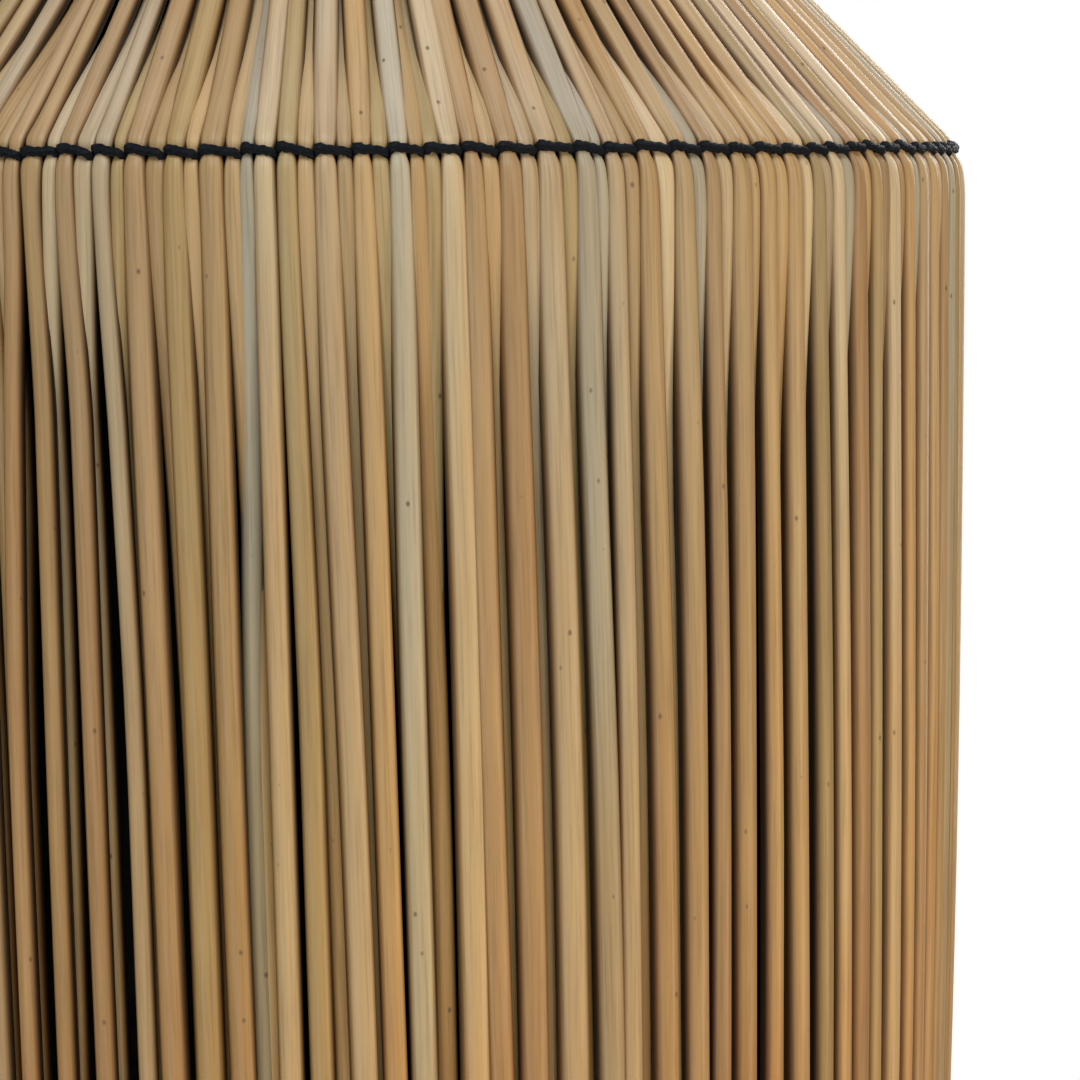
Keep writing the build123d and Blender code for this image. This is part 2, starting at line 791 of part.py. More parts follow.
def make_snuffer():
    """The cup that smothers the flame. It is drawn closed and written swung open."""
    mouth = cap_z + tube_flange + moving_gap
    crown = mouth + snuffer_inside + snuffer_wall
    outer = snuffer_bore + snuffer_wall
    swing = Axis((pivot_reach, 0, pivot_z), (0, 1, 0))
    barrel = pin_radius + barrel_wall
    with BuildPart() as cup:
        with BuildSketch(Plane.XZ):
            with BuildLine():
                FilletPolyline(
                    (outer + 1.2, mouth),
                    (outer + 1.2, mouth + 1.4),
                    (outer, mouth + 2.4),
                    (outer, crown - 6),
                    (outer - 5.5, crown),
                    (0, crown),
                    radius=[0.4, 0.4, 4, 4],
                )
                Polyline((0, crown), (0, crown - snuffer_wall), (outer - 6.5, crown - snuffer_wall))
                Polyline(
                    (outer - 6.5, crown - snuffer_wall),
                    (snuffer_bore, crown - 6.4),
                    (snuffer_bore, mouth),
                    (outer + 1.2, mouth),
                )
            make_face()
        revolve(axis=Axis.Z)
    keep(cup.part.rotate(swing, snuffer_open), "snuffer_cup")

    with BuildPart() as arm:
        with BuildSketch(Plane.XZ):
            with BuildLine():
                FilletPolyline(
                    (outer - 1, mouth + arm_height),
                    (outer + arm_bend_reach, mouth + arm_height),
                    (pivot_reach, pivot_z),
                    radius=[3],
                )
                offset(amount=arm_thickness / 2, side=Side.BOTH, kind=Kind.INTERSECTION)
            make_face()
        extrude(amount=tongue_width / 2, both=True)
        with BuildSketch(Plane.XZ):
            with Locations((pivot_reach, pivot_z)):
                Circle(barrel)
        extrude(amount=tongue_width / 2, both=True)
        with Locations((0, 0, mouth + 9)):
            Cylinder(outer + rest_gap / 2, 18 + 2 * moving_gap, mode=Mode.SUBTRACT)
        with BuildSketch(Plane.XZ):
            with Locations((pivot_reach, pivot_z)):
                Circle(pin_radius + running_gap)
        extrude(amount=tongue_width, both=True, mode=Mode.SUBTRACT)
    keep(arm.part.rotate(swing, snuffer_open), "snuffer_arm")

    with BuildPart() as knob:
        with Locations((0, 0, crown)):
            Cylinder(knob_neck, knob_neck + knob_radius, align=(Align.CENTER, Align.CENTER, Align.MIN))
        with Locations((0, 0, crown + knob_neck + knob_radius)):
            Sphere(knob_radius)
    keep(knob.part.rotate(swing, snuffer_open), "snuffer_knob")


# ---------------------------------------------------------------- build
os.makedirs("parts", exist_ok=True)
make_spike()
make_poles()
make_clamp()
make_head_base()
make_frame()
make_heat_shield()
make_collar()
make_reeds()
make_lashings()
make_canister()
make_cap()
make_snuffer_bracket()
make_snuffer()
print("shoulder height", round(shoulder_z, 3), "cap top", round(cap_z, 3), "pivot", round(pivot_z, 3))
print("clamp height", round(clamp_z, 3), "wick top", round(wick_top, 3), "collar", round(collar_z, 3))
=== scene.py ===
"""Looks of the garden torch: its reeds, twined lashings, bamboo, metals and wick.

Lengths in this script are millimetres until a mesh is made. Heights on the reed head are
counted from the shoulder hoop, and a length along a reed from its lashing at the shoulder.
"""

import math

import bpy
import numpy as np
from mathutils import Euler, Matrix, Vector


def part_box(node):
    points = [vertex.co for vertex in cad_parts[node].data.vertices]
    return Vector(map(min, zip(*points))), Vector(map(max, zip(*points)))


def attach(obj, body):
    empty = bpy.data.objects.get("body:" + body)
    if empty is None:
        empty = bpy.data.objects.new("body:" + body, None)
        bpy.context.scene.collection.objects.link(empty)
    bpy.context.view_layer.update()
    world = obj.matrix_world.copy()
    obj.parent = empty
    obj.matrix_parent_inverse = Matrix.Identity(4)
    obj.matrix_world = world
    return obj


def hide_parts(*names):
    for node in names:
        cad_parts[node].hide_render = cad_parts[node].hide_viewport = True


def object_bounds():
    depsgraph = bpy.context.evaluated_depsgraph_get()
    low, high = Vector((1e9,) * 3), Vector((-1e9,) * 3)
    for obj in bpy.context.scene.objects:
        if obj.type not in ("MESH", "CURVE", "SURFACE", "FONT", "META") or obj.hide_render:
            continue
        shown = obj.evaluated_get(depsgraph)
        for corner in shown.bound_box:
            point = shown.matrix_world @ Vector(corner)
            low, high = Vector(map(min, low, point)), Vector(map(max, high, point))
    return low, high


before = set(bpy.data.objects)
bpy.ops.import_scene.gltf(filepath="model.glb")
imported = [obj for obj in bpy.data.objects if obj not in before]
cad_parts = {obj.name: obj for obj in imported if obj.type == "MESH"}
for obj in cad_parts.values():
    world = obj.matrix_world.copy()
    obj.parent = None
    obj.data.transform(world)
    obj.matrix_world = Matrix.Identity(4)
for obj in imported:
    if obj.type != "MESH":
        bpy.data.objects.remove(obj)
cad_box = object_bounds()

MM = 0.001
rng = np.random.default_rng(7)

# ---------------------------------------------------------------- sizes read from the frame
shoulder_lo, shoulder_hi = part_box("shoulder_hoop")
lower_lo, lower_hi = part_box("lower_hoop")
neck_lo, neck_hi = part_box("neck_hoop")
reed_lo, reed_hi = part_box("outer_reeds")
wick_lo, wick_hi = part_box("wick")
lid_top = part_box("can_lid")[1].z

HOOP_WIRE = (shoulder_hi.z - shoulder_lo.z) / 2 / MM
SHOULDER_Z = (shoulder_hi.z + shoulder_lo.z) / 2 / MM
HOOP_R = shoulder_hi.x / MM - HOOP_WIRE
LOWER_HOOP_R = lower_hi.x / MM - HOOP_WIRE
LOWER_HOOP_Z = (lower_hi.z + lower_lo.z) / 2 / MM - SHOULDER_Z
NECK_HOOP_R = neck_hi.x / MM - HOOP_WIRE
NECK_HOOP_Z = (neck_hi.z + neck_lo.z) / 2 / MM - SHOULDER_Z
DRUM_R = reed_hi.x / MM
REED_FOOT = reed_lo.z / MM - SHOULDER_Z

# ---------------------------------------------------------------- the reeds' shape
PAIRS = 120  # stitches round the shoulder, two reeds in each
PITCH = 2 * math.pi / PAIRS
DRUM_BOW = 3.0  # how far the drum has drawn in at the lower hoop
BOW_POWER = 3.0
CONE_SURFACE = 83.0  # radius plus height of the cone's outer surface
CONE_LENGTH = 41.0
STRAIGHT_BELOW = 7.0  # below the lashing, the drum is plumb
FOLD = ((-7.0, 7.0, 14.0), (-1.4, 3.6, 31.0))  # start, length, degrees
PINCH_SIGMA = 3.6
PINCH_DEPTH = 0.55
NECK_S = 29.0
SIDES = 12


def smooth(x):
    x = np.clip(x, 0.0, 1.0)
    return x * x * (3.0 - 2.0 * x)


def turn_at(s):
    """Inward lean of the reeds, in radians, at lengths above the shoulder lashing."""
    return np.radians(sum(angle * smooth((s - start) / length) for start, length, angle in FOLD))


# The outer surface as (radius, height), sampled once and read by interpolation
path_s = np.linspace(-STRAIGHT_BELOW, CONE_LENGTH + 4, 600)
step = path_s[1] - path_s[0]
path_turn = turn_at(path_s)
path_r = DRUM_R - np.concatenate([[0.0], np.cumsum(np.sin(path_turn[:-1]) * step)])
path_z = np.concatenate([[0.0], np.cumsum(np.cos(path_turn[:-1]) * step)])
path_z += CONE_SURFACE - path_r[-1] - path_z[-1]
FOLD_FOOT_Z = path_z[0]
LOWER_S = LOWER_HOOP_Z - FOLD_FOOT_Z - STRAIGHT_BELOW


def surface_at(s):
    """(radius, height, lean) of the smooth outer surface at lengths s."""
    on_drum = s < -STRAIGHT_BELOW
    z_drum = FOLD_FOOT_Z + s + STRAIGHT_BELOW
    share = np.clip(z_drum / LOWER_HOOP_Z, 0.0, None)
    r_drum = DRUM_R - DRUM_BOW * share**BOW_POWER
    r = np.where(on_drum, r_drum, np.interp(s, path_s, path_r))
    z = np.where(on_drum, z_drum, np.interp(s, path_s, path_z))
    bow_lean = DRUM_BOW * BOW_POWER * share ** (BOW_POWER - 1) / LOWER_HOOP_Z
    lean = np.where(on_drum, bow_lean, np.interp(s, path_s, path_turn))
    return r, z, lean


def pinch_at(s, sigma=PINCH_SIGMA):
    """1 at the three lashings and 0 away from them."""
    return sum(
        weight * np.exp(-(((s - place) / sigma) ** 2))
        for place, weight in ((0.0, 1.0), (LOWER_S, 0.8), (NECK_S, 0.6))
    )


def mesh_object(name, verts, faces, smooth_faces=True):
    """A mesh piece from vertices in millimetres on the row's axes."""
    mesh = bpy.data.meshes.new(name)
    mesh.from_pydata((np.asarray(verts) * MM).tolist(), [], faces)
    mesh.update()
    if smooth_faces:
        mesh.polygons.foreach_set("use_smooth", [True] * len(mesh.polygons))
    obj = bpy.data.objects.new(name, mesh)
    bpy.context.scene.collection.objects.link(obj)
    return obj


def add_values(obj, name, values, kind="FLOAT"):
    """Stores a value for each vertex, which a material reads by name."""
    layer = obj.data.attributes.new(name, kind, "POINT")
    key = "color" if kind == "FLOAT_COLOR" else "value"
    layer.data.foreach_set(key, np.asarray(values, np.float32).ravel())


def tube_faces(rings, sides, first, closed=False):
    """Quads round a tube, with a cap at each end unless it closes on itself."""
    faces = []
    for ring in range(rings if closed else rings - 1):
        a, b = first + ring * sides, first + (ring + 1) % rings * sides
        faces += [(a + k, b + k, b + (k + 1) % sides, a + (k + 1) % sides) for k in range(sides)]
    if not closed:
        faces.append(tuple(first + k for k in range(sides)))
        faces.append(tuple(first + (rings - 1) * sides + sides - 1 - k for k in range(sides)))
    return faces


# ---------------------------------------------------------------- one reed after another
REED_TONES = (  # base colours, linear, and how common each is
    ((0.400, 0.272, 0.132), 5),  # straw
    ((0.385, 0.290, 0.175), 4),  # grey beige
    ((0.480, 0.362, 0.212), 4),  # pale cream
    ((0.392, 0.254, 0.112), 4),  # orange tan
    ((0.330, 0.210, 0.098), 2),  # reddish tan
    ((0.335, 0.240, 0.108), 3),  # olive tan
    ((0.375, 0.322, 0.228), 2),  # weathered grey
)
WIDE_GAPS = (  # azimuth from the front towards +X, degrees, and opening in millimetres
    (-26.0, 3.6), (-22.7, 2.4), (-19.8, 2.9), (-9.0, 0.9), (-3.3, 0.5), (8.0, 1.1),
    (12.7, 0.8), (18.4, 0.6), (74.0, 1.0),
    (121.0, 2.2), (158.0, 2.0), (203.0, 2.6), (249.0, 2.2), (291.0, 1.8),
)
GAP_REACH = 3.4  # how far along the row a gap pushes the reeds
GAP_SIDE = 3.4  # how near the middle of a pair beside a gap is
WIDE_OPENING = 1.2  # the least that makes the reeds beside a gap slim
FRONT = -math.pi / 2
STITCH_TURN = 0.55  # of a stitch, so that the wide gaps lie as on the real one


def reed_lengths():
    """Where a reed's rings lie: close together at its folds and sparse between."""
    return np.concatenate([
        np.linspace(CONE_LENGTH, 8.0, 18),
        np.linspace(7.0, 3.5, 8),
        np.linspace(3.0, -3.0, 25),
        np.linspace(-3.5, -7.0, 8),
        np.linspace(-9.0, -30.0, 8),
        np.linspace(-40.0, LOWER_S + 9.0, 14),
        np.linspace(LOWER_S + 6.0, LOWER_S - 6.0, 13),
        [LOWER_S - 8.5, -1000.0],
    ])


def gap_push(azimuth, s):
    """Millimetres that a reed is pushed sideways by the wide gaps near it."""
    push = np.zeros_like(s)
    for edge, opening in gap_edges:
        away = (azimuth - edge + math.pi) % (2 * math.pi) - math.pi
        reach = math.exp(-abs(away) * DRUM_R / GAP_REACH)
        push += math.copysign(opening / 2 * reach, away) * smooth((-s - 12.0) / 60.0)
    return push * (1 - 0.7 * np.exp(-(((s - LOWER_S) / 25.0) ** 2)))


def beside_gap(azimuth):
    """True for a pair of reeds with a wide gap on either side."""
    nearest = min(abs(azimuth - edge) for edge, opening in gap_edges if opening > WIDE_OPENING)
    return nearest * DRUM_R < GAP_SIDE


def wander(s, size):
    """A slow sideways wave that is still at the shoulder."""
    waves = sum(
        rng.normal() * np.sin(s / rng.uniform(22.0, 60.0) + rng.uniform(0, 6.3)) for _ in range(3)
    )
    return size * (waves - waves[np.argmin(abs(s))]) / 1.7


def build_reeds(front_row):
    """One row of the reeds as a mesh piece."""
    lengths = reed_lengths()
    turn = np.linspace(0, 2 * math.pi, SIDES, endpoint=False)
    tones = [tone for tone, share in REED_TONES for _ in range(share)]
    verts, faces = [], []
    values = {"along": [], "around": [], "seed": [], "pinch": [], "facing": [], "tone": []}
    for k in range(PAIRS):
        pair = pair_facts[k]
        width = pair["front"] if front_row else pair["back"]
        middle = (stitch_edges[k] + stitch_edges[k + 1]) / 2
        by_gap = beside_gap(middle)
        if by_gap:
            width = pair["slim"]
        side = pair["side"] if front_row else -pair["side"]
        share = pair["share"] if front_row else 1 - pair["share"]
        stitch = (stitch_edges[k + 1] - stitch_edges[k]) * DRUM_R
        s = lengths.copy()
        s[-1] = REED_FOOT - FOLD_FOOT_Z - STRAIGHT_BELOW + rng.uniform(0.0, 3.0)
        s[0] -= rng.uniform(0.0, 1.5)
        taper = np.interp(s, [-190.0, 0.0, CONE_LENGTH], [1.03, 1.0, 0.84])
        pinch = np.clip(pinch_at(s), 0, 1)
        held = np.exp(-((s / 5.0) ** 2))
        tight = np.exp(-((s / 1.2) ** 2))
        crushed = share * stitch / 2 * (0.97 if front_row else 1.15)
        half_wide = width / 2 * taper * (1 - held) + crushed * held
        half_wide *= 1 - 0.24 * tight
        half_deep = width / 2 * taper * (1 - 0.45 * pinch)

        r, z, lean = surface_at(s)
        depth = half_deep + PINCH_DEPTH * pinch_at(s, 1.3)
        if not front_row:
            loose = smooth((-s - 3.0) / 40.0) * (1 - np.exp(-(((s - LOWER_S) / 22.0) ** 2)))
            loose += smooth((s - 3.0) / 24.0)
            depth += 0.30 + loose * (pair["front"] * 0.66)
        depth += abs(wander(s, 0.08)) * (1 - held)

        # Side by side in the stitch, and more freely away from it
        at_fold = side * stitch / 2 * (1 - share)
        free = smooth((-s - 4.0) / (30.0 if by_gap else 70.0))
        slide = pair["slide"] if front_row else pair["back_slide"]
        # A back reed moves to the space between front reeds, or behind one beside a gap
        own_way = 0.0 if by_gap else (0.7 if front_row else 1.75)
        offset = at_fold * (1 + (own_way - 1) * free) + wander(s, 0.20) * smooth(abs(s) / 40.0)
        offset += slide * free * (0.1 if by_gap else 1.0)
        offset = offset + gap_push(middle, s)
        lean_deg = 1.40 + 0.40 * math.cos(middle - FRONT + 0.5) + pair["lean"]
        offset += -np.minimum(s, 0.0) * math.tan(math.radians(lean_deg))
        azimuths = middle + offset / DRUM_R

        c_r = r - depth * np.cos(lean)
        c_z = z - depth * np.sin(lean)
        drift = s[:, None] * rng.uniform(-0.012, 0.012) + rng.uniform(0, 6)
        lobes = 1 + 0.035 * np.cos(3 * turn + drift) + 0.018 * np.cos(5 * turn - drift)
        lobes = lobes * (1 + wander(s, 0.022) * (1 - held))[:, None]
        boxy = 2 / (2.35 + 0.6 * pinch[:, None])
        across = np.sign(np.cos(turn)) * abs(np.cos(turn)) ** boxy * half_wide[:, None] * lobes
        out = np.sign(np.sin(turn)) * abs(np.sin(turn)) ** boxy * half_deep[:, None] * lobes
        ring_r = c_r[:, None] + out * np.cos(lean)[:, None]
        ring_z = c_z[:, None] + out * np.sin(lean)[:, None]
        cos_a, sin_a = np.cos(azimuths)[:, None], np.sin(azimuths)[:, None]
        x = ring_r * cos_a - across * sin_a
        y = ring_r * sin_a + across * cos_a
        faces += tube_faces(len(s), SIDES, len(verts) * len(s) * SIDES)
        verts.append(np.stack([x, y, ring_z + SHOULDER_Z], -1).reshape(-1, 3))
        tone = np.array(tones[rng.integers(len(tones))]) * rng.uniform(0.87, 1.12)
        count = len(s) * SIDES
        values["along"].append(np.repeat(s, SIDES))
        values["around"].append(np.tile(abs(turn - math.pi) * width / 2, len(s)))
        values["seed"].append(np.full(count, rng.uniform(0, 100)))
        values["pinch"].append(np.repeat(pinch, SIDES))
        # facing: 1 on a reed's outer face and 0 on its inner; the material paints shade on the sides from
        # it
        values["facing"].append(np.tile(np.sin(turn) / 2 + 0.5, len(s)))
        values["tone"].append(np.tile([*tone, 1.0], (count, 1)))
    obj = mesh_object("reeds_front" if front_row else "reeds_back", np.concatenate(verts), faces)
    for name, value in values.items():
        add_values(obj, name, np.concatenate(value), "FLOAT_COLOR" if name == "tone" else "FLOAT")
    return obj


jitter = np.clip(rng.normal(size=PAIRS), -2, 2) * 0.085
stitch_edges = FRONT + (np.arange(PAIRS + 1) + np.append(jitter, jitter[0]) - STITCH_TURN) * PITCH
gap_edges = []
for gap_degrees, gap_opening in WIDE_GAPS:
    wanted = FRONT + math.radians(gap_degrees % 360)
    gap_edges.append((stitch_edges[np.argmin(abs(stitch_edges - wanted))], gap_opening))
pair_facts = [
    {
        "front": rng.uniform(2.55, 3.45),
        "back": rng.uniform(2.3, 2.95),
        "slim": rng.uniform(2.2, 2.5),
        "share": rng.uniform(0.50, 0.66),
        "side": -1 if rng.random() < 0.86 else 1,
        "slide": 0.17 * rng.normal(),
        "back_slide": 0.35 * rng.normal(),
        "lean": 0.20 * rng.normal(),
    }
    for _ in range(PAIRS)
]


# ---------------------------------------------------------------- twined lashings
CORD_R = 0.52
CORD_PROUD = 0.22  # of its centre above the pinched reeds
CORD_SIDES = 12
RINGS_PER_PAIR = 22


def cord_place(s, weight):
    """(radius, height) of the cord's centre over the reeds at length s."""
    r, z, lean = (float(v) for v in surface_at(np.array(s)))
    inward = PINCH_DEPTH * weight - CORD_PROUD
    return (r - inward * math.cos(lean), z - inward * math.sin(lean))


def twined_lashing(name, hoop_r, hoop_z, place, rear, drop):
    """Two strands that take turns over each pair of reeds and cross between the pairs.

    place is where the cord lies over the reeds, as (radius, height).
    """
    verts, faces, along, around = [], [], [], []
    count = PAIRS * RINGS_PER_PAIR
    out = np.array([place[0] - hoop_r, place[1] - hoop_z])
    front = np.hypot(*out)
    out = out / front
    up = np.array([-out[1], out[0]])
    sag = np.cumsum(rng.normal(size=PAIRS)) * 0.14
    sag = sag - np.linspace(0, sag[-1], PAIRS)
    sag = np.clip(sag - sag.mean(), -0.45, 0.45) + 0.13 * rng.normal(size=PAIRS)
    slopes = rng.uniform(0.5, 1.4, PAIRS)
    for strand in range(2):
        t = np.arange(count) / RINGS_PER_PAIR  # in pairs
        phase = (t - strand) % 2.0  # 0 to 1 over the front, 1 to 2 behind
        enter = np.where(phase > 1.5, smooth((phase - 1.90) / 0.24), smooth((phase + 0.10) / 0.24))
        leave = 1 - smooth((phase - 0.90) / 0.22)
        over = np.where(phase > 1.5, enter, np.minimum(enter, leave))
        across = np.where(phase > 1.5, phase - 2.0, phase)
        knob = 0.16 * np.exp(-(((across - 0.10) / 0.16) ** 2))
        pair_index = (np.floor(t + 0.3).astype(int)) % PAIRS
        wave = np.interp(t, np.arange(PAIRS + 1), np.append(sag, sag[0]))
        distance = rear + (front + knob - rear) * over
        slope = np.interp(t, np.arange(PAIRS + 1), np.append(slopes, slopes[0]))
        rise = drop * slope * (0.5 - np.clip(across, -0.15, 1.15)) * over + wave
        rise += 0.06 * np.sin(t * 2.9) + 0.04 * np.sin(t * 7.7 + pair_index)
        radius = hoop_r + distance * out[0] + rise * up[0]
        height = hoop_z + distance * out[1] + rise * up[1]
        azimuth = np.interp(t, np.arange(PAIRS + 1), stitch_edges)
        centre = np.stack([radius * np.cos(azimuth), radius * np.sin(azimuth), height], -1)
        ahead = np.roll(centre, -1, 0) - np.roll(centre, 1, 0)
        ahead /= np.linalg.norm(ahead, axis=1)[:, None]
        side = np.cross(ahead, np.tile([0.0, 0.0, 1.0], (count, 1)))
        side /= np.linalg.norm(side, axis=1)[:, None]
        top = np.cross(side, ahead)
        turn = np.linspace(0, 2 * math.pi, CORD_SIDES, endpoint=False)
        twist = t * 2 * math.pi * 1.3
        ply = 1 + 0.10 * np.cos(3 * (turn[None, :] - twist[:, None]))
        fat = 1 + 0.13 * np.exp(-(((across - 0.16) / 0.22) ** 2)) - 0.10 * smooth((across - 0.6) / 0.4)
        fat = np.where((across > -0.2) & (across < 1.15), fat, 0.9)
        size = CORD_R * ply * fat[:, None] * (1 + 0.03 * rng.normal(size=(count, 1)))
        ring = (
            centre[:, None, :]
            + side[:, None, :] * (np.cos(turn) * size)[..., None] * 0.9
            + top[:, None, :] * (np.sin(turn) * size)[..., None]
        )
        faces += tube_faces(count, CORD_SIDES, strand * count * CORD_SIDES, closed=True)
        verts.append(ring.reshape(-1, 3) + [0, 0, SHOULDER_Z])
        along.append(np.repeat(t * PITCH * hoop_r, CORD_SIDES))
        around.append(np.tile(turn, count))
    obj = mesh_object(name, np.concatenate(verts), faces)
    add_values(obj, "along", np.concatenate(along))
    add_values(obj, "around", np.concatenate(around))
    return obj


# ---------------------------------------------------------------- node helpers
def new_material(name):
    material = bpy.data.materials.new(name)
    material.use_nodes = True
    return material, material.node_tree.nodes, material.node_tree.links


def ramp(nodes, links, source, stops):
    """A colour ramp over a 0 to 1 value: stops are (place, colour)."""
    made = nodes.new("ShaderNodeValToRGB")
    elements = made.color_ramp.elements
    while len(elements) < len(stops):
        elements.new(0.5)
    for element, (place, colour) in zip(elements, stops):
        element.position = place
        element.color = colour if len(colour) == 4 else (*colour, 1.0)
    links.new(source, made.inputs["Fac"])
    return made.outputs["Color"]


def grey(value):
    return (value, value, value, 1.0)


def mix(nodes, links, kind, factor, a, b):
    """Blends two colours; factor, a and b are sockets or constants."""
    made = nodes.new("ShaderNodeMix")
    made.data_type = "RGBA"
    made.blend_type = kind
    for key, value in ((0, factor), (6, a), (7, b)):
        if isinstance(value, bpy.types.NodeSocket):
            links.new(value, made.inputs[key])
        else:
            made.inputs[key].default_value = value
    return made.outputs[2]


def attribute(nodes, name):
    made = nodes.new("ShaderNodeAttribute")
    made.attribute_name = name
    return made


def math_node(nodes, links, operation, *values):
    made = nodes.new("ShaderNodeMath")
    made.operation = operation
    for k, value in enumerate(values):
        if isinstance(value, bpy.types.NodeSocket):
            links.new(value, made.inputs[k])
        else:
            made.inputs[k].default_value = value
    return made.outputs[0]


def bump(nodes, links, height, strength, distance):
    made = nodes.new("ShaderNodeBump")
    made.inputs["Strength"].default_value = strength
    made.inputs["Distance"].default_value = distance
    links.new(height, made.inputs["Height"])
    return made.outputs["Normal"]


def noise(nodes, links, vector, scale, detail=3.0, rough=0.55):
    made = nodes.new("ShaderNodeTexNoise")
    made.inputs["Scale"].default_value = scale
    made.inputs["Detail"].default_value = detail
    made.inputs["Roughness"].default_value = rough
    links.new(vector, made.inputs["Vector"])
    return made.outputs["Fac"]


def object_place(nodes, links, scale=(1.0, 1.0, 1.0)):
    """Object coordinates, stretched by scale."""
    place = nodes.new("ShaderNodeTexCoord")
    mapping = nodes.new("ShaderNodeMapping")
    mapping.inputs["Scale"].default_value = scale
    links.new(place.outputs["Object"], mapping.inputs["Vector"])
    return mapping.outputs["Vector"]


# ---------------------------------------------------------------- materials
def reed_material():
    material, nodes, links = new_material("reed")
    shader = nodes["Principled BSDF"]
    along, around = attribute(nodes, "along").outputs["Fac"], attribute(nodes, "around").outputs["Fac"]
    seed = attribute(nodes, "seed").outputs["Fac"]
    pinch = attribute(nodes, "pinch").outputs["Fac"]
    tone = attribute(nodes, "tone").outputs["Color"]

    def place(around_scale, along_scale):
        made = nodes.new("ShaderNodeCombineXYZ")
        links.new(math_node(nodes, links, "MULTIPLY", around, around_scale), made.inputs[0])
        links.new(math_node(nodes, links, "MULTIPLY", along, along_scale), made.inputs[1])
        links.new(math_node(nodes, links, "MULTIPLY", seed, 3.7), made.inputs[2])
        return made.outputs[0]

    # Long soft stains, from pale to orange brown
    stain = noise(nodes, links, place(0.10, 0.016), 1.0, 2.0)
    stained = ramp(nodes, links, stain, (
        (0.28, (1.08, 1.11, 1.18)), (0.50, (1.0, 1.0, 1.0)), (0.72, (0.97, 0.84, 0.68)),
    ))
    colour = mix(nodes, links, "MULTIPLY", 1.0, tone, stained)
    # Painted light and shade by height: the cone paler and bluer where light from above falls, the drum
    # darker and browner towards the foot
    height = math_node(nodes, links, "MULTIPLY_ADD", along, 1 / 160, 0.75)
    # painted light on the cone and painted shade down the drum, by height alone
    height_shade = ramp(nodes, links, height, (
        (0.0, (0.83, 0.67, 0.45)), (0.25, (0.85, 0.76, 0.55)), (0.62, (0.82, 0.83, 0.78)),
        (0.74, (0.85, 0.86, 0.82)), (0.79, (1.01, 1.04, 1.12)),
    ))
    colour = mix(nodes, links, "MULTIPLY", 1.0, colour, height_shade)
    # Painted shade on each reed's sides, near black at its edges, where the reeds touch and shadow falls
    # between them
    facing = attribute(nodes, "facing").outputs["Fac"]
    shaded = ramp(nodes, links, facing, (
        (0.55, (0.02, 0.010, 0.004)), (0.72, (0.47, 0.34, 0.22)), (0.87, (1.0, 1.0, 1.0)),
    ))
    colour = mix(nodes, links, "MULTIPLY", 0.94, colour, shaded)
    # Fine fibres along the reed, stronger at the fold where it is crushed
    fibre = noise(nodes, links, place(3.0, 0.06), 1.0, 4.0, 0.65)
    fibres = ramp(nodes, links, fibre, ((0.30, grey(0.62)), (0.50, grey(1.0)), (0.75, grey(1.16))))
    amount = math_node(nodes, links, "MULTIPLY_ADD", pinch, 0.30, 0.65)
    colour = mix(nodes, links, "MULTIPLY", amount, colour, fibres)
    # Small dark specks
    specks = nodes.new("ShaderNodeTexVoronoi")
    specks.inputs["Scale"].default_value = 1.0
    links.new(place(0.30, 0.20), specks.inputs["Vector"])
    dot = ramp(nodes, links, specks.outputs["Distance"], ((0.035, grey(1.0)), (0.085, grey(0.0))))
    chosen = nodes.new("ShaderNodeSeparateColor")
    links.new(specks.outputs["Color"], chosen.inputs[0])
    rare = math_node(nodes, links, "GREATER_THAN", chosen.outputs[0], 0.45)
    speck = math_node(nodes, links, "MULTIPLY", dot, rare)
    speck = math_node(nodes, links, "MULTIPLY", speck, 0.85)
    colour = mix(nodes, links, "MIX", speck, colour, (0.10, 0.055, 0.025, 1.0))
    links.new(colour, shader.inputs["Base Color"])

    shine = ramp(nodes, links, fibre, ((0.3, grey(0.62)), (0.7, grey(0.46))))
    links.new(shine, shader.inputs["Roughness"])
    shader.inputs["Specular IOR Level"].default_value = 0.42
    shader.inputs["Coat Weight"].default_value = 0.08
    shader.inputs["Coat Roughness"].default_value = 0.35
    rough = math_node(nodes, links, "MULTIPLY", fibre, math_node(nodes, links, "ADD", pinch, 0.35))
    links.new(bump(nodes, links, rough, 0.35, 0.00012), shader.inputs["Normal"])
    return material


def cord_material():
    material, nodes, links = new_material("waxed_cord")
    shader = nodes["Principled BSDF"]
    place = nodes.new("ShaderNodeCombineXYZ")
    along, around = attribute(nodes, "along").outputs["Fac"], attribute(nodes, "around").outputs["Fac"]
    slant = math_node(nodes, links, "MULTIPLY_ADD", around, 0.55, math_node(
        nodes, links, "MULTIPLY", along, 1.6))
    links.new(slant, place.inputs[0])
    links.new(around, place.inputs[1])
    wool = noise(nodes, links, object_place(nodes, links), 2600.0, 3.0, 0.7)
    strands = nodes.new("ShaderNodeTexWave")
    strands.inputs["Scale"].default_value = 1.6
    strands.inputs["Distortion"].default_value = 1.5
    links.new(place.outputs[0], strands.inputs["Vector"])
    height = math_node(nodes, links, "ADD", math_node(
        nodes, links, "MULTIPLY", strands.outputs["Fac"], 0.5), wool)
    colour = ramp(nodes, links, wool, ((0.3, (0.0008, 0.0020, 0.0040)), (0.7, (0.0040, 0.0078, 0.0135))))
    links.new(colour, shader.inputs["Base Color"])
    shader.inputs["Roughness"].default_value = 0.55
    shader.inputs["Specular IOR Level"].default_value = 0.16
    links.new(bump(nodes, links, height, 0.9, 0.0001), shader.inputs["Normal"])
    return material


